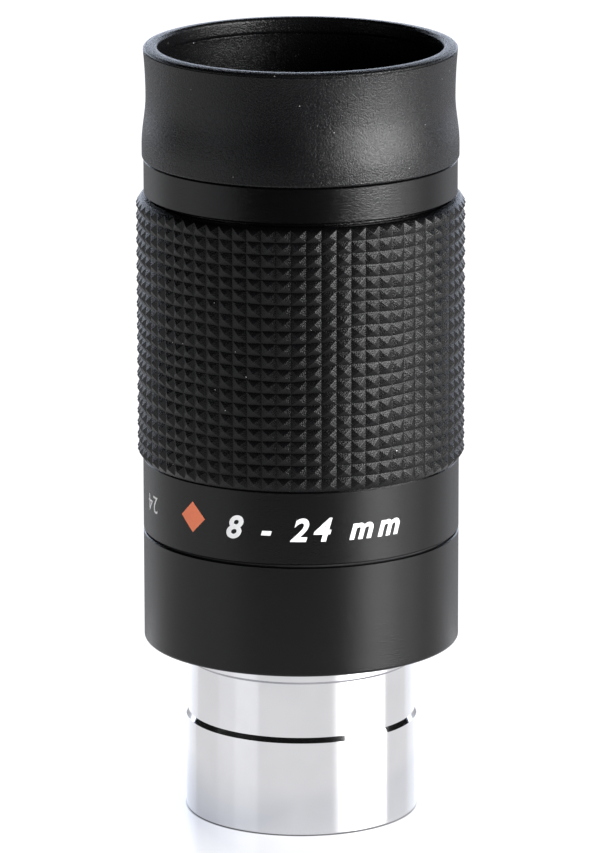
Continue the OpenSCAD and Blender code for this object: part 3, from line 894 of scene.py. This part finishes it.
def studio_card(name, centre, size, turn_x, material):
    """A flat card of a size, turned up from the floor by an angle."""
    bpy.ops.object.select_all(action="DESELECT")
    bpy.ops.mesh.primitive_plane_add(size=1, location=centre)
    card = bpy.context.active_object
    card.name = name
    card.scale = (size[0], size[1], 1)
    card.rotation_euler = (turn_x, 0, 0)
    bpy.ops.object.transform_apply(location=True, rotation=True, scale=True)
    material.cycles.emission_sampling = "NONE"
    card.data.materials.append(material)
    card.visible_camera = False
    card.visible_diffuse = False
    card.visible_shadow = False
    print(name, "is at", centre)


def make_card(name, middle, sides):
    """A card that glows a little: one colour straight behind the eyepiece, another to the sides."""
    material, shader, place = new_finish(name, Base_Color=(0, 0, 0, 1), Roughness=1.0, Emission_Strength=1.0)
    across = along(place, "X")
    slant = across.sum("DIVIDE", across, along(place, "Y"))
    varies(shader, "Emission Color", tint(share(slant * slant, 0.0, 1.0), middle, sides))
    return material


NEAR_BLACK = (0.002, 0.002, 0.002)
SKY = (2.0, 2.2, 2.6)
JUST_ABOVE = 0.0005
dark = make_card("card_black", NEAR_BLACK, NEAR_BLACK)
shaded = make_card("card_shaded", (0.25, 0.25, 0.27), (0.85, 0.86, 0.88))
pale = make_card("board_pale", SKY, SKY)
studio_card("black_card", (0, -1.3, JUST_ABOVE), (4, 2.2), 0, dark)
studio_card("shaded_card", (0, 0.5, JUST_ABOVE), (1.6, 0.86), 0, shaded)
studio_card("pale_board", (0, 1.3, 0.25), (3, 0.5), math.radians(90), pale)

# %% [markdown]
# The room itself is white where the camera sees it, and dark in reflections.

# %% Room
ROOM_GLOW = 0.01

world = bpy.data.worlds.new("studio")
bpy.context.scene.world = world
world.use_nodes = True
background = world.node_tree.nodes["Background"]
background.inputs["Color"].default_value = (1, 1, 1, 1)
seen = Wire(world.node_tree.nodes.new("ShaderNodeLightPath").outputs["Is Camera Ray"])
feed(background.inputs["Strength"], ROOM_GLOW + seen)
print("room is ready")

# %% [markdown]
# A large soft box stands on the right, with a second head in front of it whose honeycomb makes its light
# fade towards the edges. A dimmer, lower pair on the left separates the dark side of the tube from the
# paper. A honeycomb narrows the fan of a light, so it needs less power for the same brightness.

# %% Soft boxes


OPEN_FAN = 180


def soft_box(name, distance, azimuth_deg, width_deg, low, high, radiance, colour=(1, 1, 1), fan_deg=OPEN_FAN):
    """An upright light that faces the axis. Azimuth 0 is the camera's side, 90 the right."""
    facing = Matrix.Rotation(math.radians(azimuth_deg), 3, "Z") @ Matrix.Rotation(math.radians(90), 3, "X")
    spot = facing.col[2] * distance
    bpy.ops.object.light_add(type="AREA", location=(spot.x, spot.y, (low + high) / 2))
    light = bpy.context.active_object
    light.name = name
    light.rotation_euler = facing.to_euler()
    light.data.shape = "RECTANGLE"
    light.data.size = 2 * distance * math.tan(math.radians(width_deg / 2))
    light.data.size_y = high - low
    light.data.energy = radiance * math.pi * light.data.size * light.data.size_y
    if fan_deg < OPEN_FAN:
        half_fan = math.radians(fan_deg / 2)
        light.data.spread = 2 * half_fan
        light.data.energy *= 1 - half_fan / math.tan(half_fan)
    light.data.color = colour
    light.visible_camera = False
    print(name, "gives", round(light.data.energy, 2), "watts")


COOL = (0.93, 0.96, 1.0)
soft_box("key_box", 0.72, 70, 46, 0.03, 0.5, 7.0)
soft_box("key_head", 0.68, 55, 48, 0.02, 0.5, 38.0, fan_deg=52)
soft_box("left_box", 0.72, -68, 48, 0.0, 0.2, 0.9, COOL)
soft_box("left_head", 0.70, -57, 26, 0.0, 0.2, 1.0, COOL)
